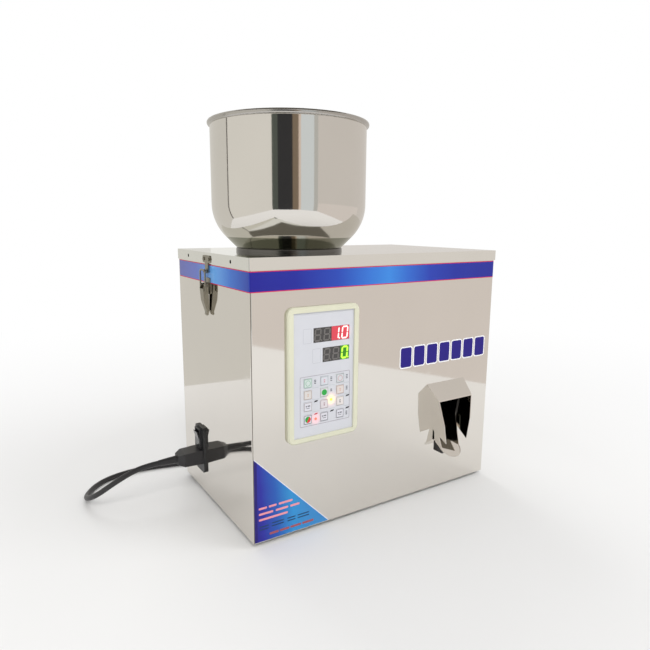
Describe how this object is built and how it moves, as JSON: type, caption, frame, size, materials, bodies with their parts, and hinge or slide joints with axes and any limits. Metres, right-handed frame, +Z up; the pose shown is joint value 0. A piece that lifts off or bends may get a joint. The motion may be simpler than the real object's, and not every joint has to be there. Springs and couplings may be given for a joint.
{
  "type": "powder filler",
  "caption": "Bench-top screw powder filler: polished steel case, lift-off lid with round hopper, key panel, weigh bucket, hooded outlet chute and mains lead.",
  "frame": {"origin": "on the bench, under the middle of the machine's outline without its lead", "axes": "+Z up, +X to the right of the front, -Y out of the front"},
  "size_m": [0.5369, 0.4138, 0.4985],
  "materials": {
    "case_steel": "mirror-polished stainless sheet",
    "bowl_steel": "mirror-polished stainless",
    "latch_steel": "nickel-plated steel",
    "cream_plastic": "moulded, satin",
    "overlay_print": "printed film",
    "readout_red": "smoked filter over red digits",
    "readout_green": "smoked filter over green digits",
    "lamp_yellow_lens": "lit lamp",
    "lamp_red_lens": "lit lamp",
    "key_print": "printed key",
    "black_plastic": "moulded",
    "lead_rubber": "soft black",
    "foot_rubber": "soft black",
    "board_green": "solder mask",
    "motor_steel": "zinc plated",
    "gear_plastic": "cut nylon",
    "bush_brass": "turned",
    "cell_aluminium": "anodised"
  },
  "bodies": {
    "case": {"body_shell": "case_steel", "rear_panel": "case_steel", "rear_screws": "latch_steel", "base_pan": "case_steel", "rubber_feet": "foot_rubber", "panel_bezel": "cream_plastic", "panel_overlay": "overlay_print", "display_upper": "readout_red", "display_lower": "readout_green", "control_board": "board_green", "outlet_hood": "case_steel", "outlet_chute": "case_steel", "chute_stand": "case_steel", "bag_sensor": "black_plastic", "auger_housing": "bowl_steel", "gear_motor": "motor_steel", "shaft_bushes": "bush_brass", "left_upright": "case_steel", "right_upright": "case_steel", "weigh_bucket": "case_steel", "flap_servo": "black_plastic", "load_cell": "cell_aluminium", "power_supply": "motor_steel", "power_inlet": "black_plastic", "fan_frame": "black_plastic", "cord_connector": "lead_rubber", "power_cord": "lead_rubber", "cord_coil": "lead_rubber", "mains_plug": "lead_rubber", "lamp_yellow": "lamp_yellow_lens", "lamp_red": "lamp_red_lens", "latch_base_left": "latch_steel", "latch_base_right": "latch_steel"},
    "lid": {"lid": "case_steel", "hopper_collar": "bowl_steel", "latch_catch_left": "latch_steel", "latch_catch_right": "latch_steel"},
    "hopper": {"hopper_bowl": "bowl_steel"},
    "feed_screw": {"auger_screw": "bowl_steel", "auger_wheel": "gear_plastic"},
    "motor_output": {"drive_pinion": "gear_plastic"},
    "flap": {"bucket_flap": "case_steel"},
    "fan": {"fan_rotor": "black_plastic"},
    "rocker": {"power_rocker": "black_plastic"},
    "lever_left": {"latch_lever_left": "latch_steel"},
    "bail_left": {"latch_bail_left": "latch_steel"},
    "lever_right": {"latch_lever_right": "latch_steel"},
    "bail_right": {"latch_bail_right": "latch_steel"},
    "key_1": {"key_1": "key_print"},
    "key_2": {"key_2": "key_print"},
    "key_3": {"key_3": "key_print"},
    "key_4": {"key_4": "key_print"},
    "key_5": {"key_5": "key_print"},
    "key_6": {"key_6": "key_print"},
    "key_7": {"key_7": "key_print"},
    "key_8": {"key_8": "key_print"},
    "key_9": {"key_9": "key_print"},
    "key_10": {"key_10": "key_print"},
    "key_11": {"key_11": "key_print"},
    "key_12": {"key_12": "key_print"}
  },
  "joints": [
    {"name": "lid_lift", "type": "slide", "parent": "case", "child": "lid", "axis": [0, 0, 1], "range_m": [0, 0.07]},
    {"name": "hopper_lift", "type": "slide", "parent": "lid", "child": "hopper", "axis": [0, 0, 1], "range_m": [0, 0.06]},
    {"name": "latch_left", "type": "hinge", "parent": "case", "child": "lever_left", "pos_m": [-0.195, 0.01697, 0.297], "axis": [0, 1, 0], "range_deg": [0, 130]},
    {"name": "bail_left", "type": "hinge", "parent": "lever_left", "child": "bail_left", "pos_m": [-0.1975, 0.01697, 0.29], "axis": [0, 1, 0], "range_deg": [-143.5, 0]},
    {"name": "latch_right", "type": "hinge", "parent": "case", "child": "lever_right", "pos_m": [0.195, 0.01697, 0.297], "axis": [0, -1, 0], "range_deg": [0, 130]},
    {"name": "bail_right", "type": "hinge", "parent": "lever_right", "child": "bail_right", "pos_m": [0.1975, 0.01697, 0.29], "axis": [0, -1, 0], "range_deg": [-143.5, 0]},
    {"name": "screw_spin", "type": "hinge", "parent": "case", "child": "feed_screw", "pos_m": [-0.136, 0.01297, 0.266], "axis": [1, 0, 0], "continuous": true},
    {"name": "motor_spin", "type": "hinge", "parent": "case", "child": "motor_output", "pos_m": [-0.136, 0.01297, 0.221], "axis": [1, 0, 0], "continuous": true},
    {"name": "flap_drop", "type": "hinge", "parent": "case", "child": "flap", "pos_m": [0.1055, 0.01397, 0.1875], "axis": [1, 0, 0], "range_deg": [0, 45]},
    {"name": "fan_spin", "type": "hinge", "parent": "case", "child": "fan", "pos_m": [0.096, 0.11197, 0.22], "axis": [0, 1, 0], "continuous": true},
    {"name": "power_switch", "type": "hinge", "parent": "case", "child": "rocker", "pos_m": [-0.192, 0.06197, 0.083], "axis": [0, 1, 0], "range_deg": [0, 18]},
    {"name": "key_1_press", "type": "slide", "parent": "case", "child": "key_1", "axis": [0, 1, 0], "range_m": [0, 0.0004], "stiffness_N_per_m": 1500},
    {"name": "key_2_press", "type": "slide", "parent": "case", "child": "key_2", "axis": [0, 1, 0], "range_m": [0, 0.0004], "stiffness_N_per_m": 1500},
    {"name": "key_3_press", "type": "slide", "parent": "case", "child": "key_3", "axis": [0, 1, 0], "range_m": [0, 0.0004], "stiffness_N_per_m": 1500},
    {"name": "key_4_press", "type": "slide", "parent": "case", "child": "key_4", "axis": [0, 1, 0], "range_m": [0, 0.0004], "stiffness_N_per_m": 1500},
    {"name": "key_5_press", "type": "slide", "parent": "case", "child": "key_5", "axis": [0, 1, 0], "range_m": [0, 0.0004], "stiffness_N_per_m": 1500},
    {"name": "key_6_press", "type": "slide", "parent": "case", "child": "key_6", "axis": [0, 1, 0], "range_m": [0, 0.0004], "stiffness_N_per_m": 1500},
    {"name": "key_7_press", "type": "slide", "parent": "case", "child": "key_7", "axis": [0, 1, 0], "range_m": [0, 0.0004], "stiffness_N_per_m": 1500},
    {"name": "key_8_press", "type": "slide", "parent": "case", "child": "key_8", "axis": [0, 1, 0], "range_m": [0, 0.0004], "stiffness_N_per_m": 1500},
    {"name": "key_9_press", "type": "slide", "parent": "case", "child": "key_9", "axis": [0, 1, 0], "range_m": [0, 0.0004], "stiffness_N_per_m": 1500},
    {"name": "key_10_press", "type": "slide", "parent": "case", "child": "key_10", "axis": [0, 1, 0], "range_m": [0, 0.0004], "stiffness_N_per_m": 1500},
    {"name": "key_11_press", "type": "slide", "parent": "case", "child": "key_11", "axis": [0, 1, 0], "range_m": [0, 0.0004], "stiffness_N_per_m": 1500},
    {"name": "key_12_press", "type": "slide", "parent": "case", "child": "key_12", "axis": [0, 1, 0], "range_m": [0, 0.0004], "stiffness_N_per_m": 1500}
  ],
  "couplings": [
    {"joint": "bail_left", "follows": "latch_left", "ratio": -1.1},
    {"joint": "bail_right", "follows": "latch_right", "ratio": -1.1},
    {"joint": "motor_spin", "follows": "screw_spin", "ratio": -2.75}
  ]
}
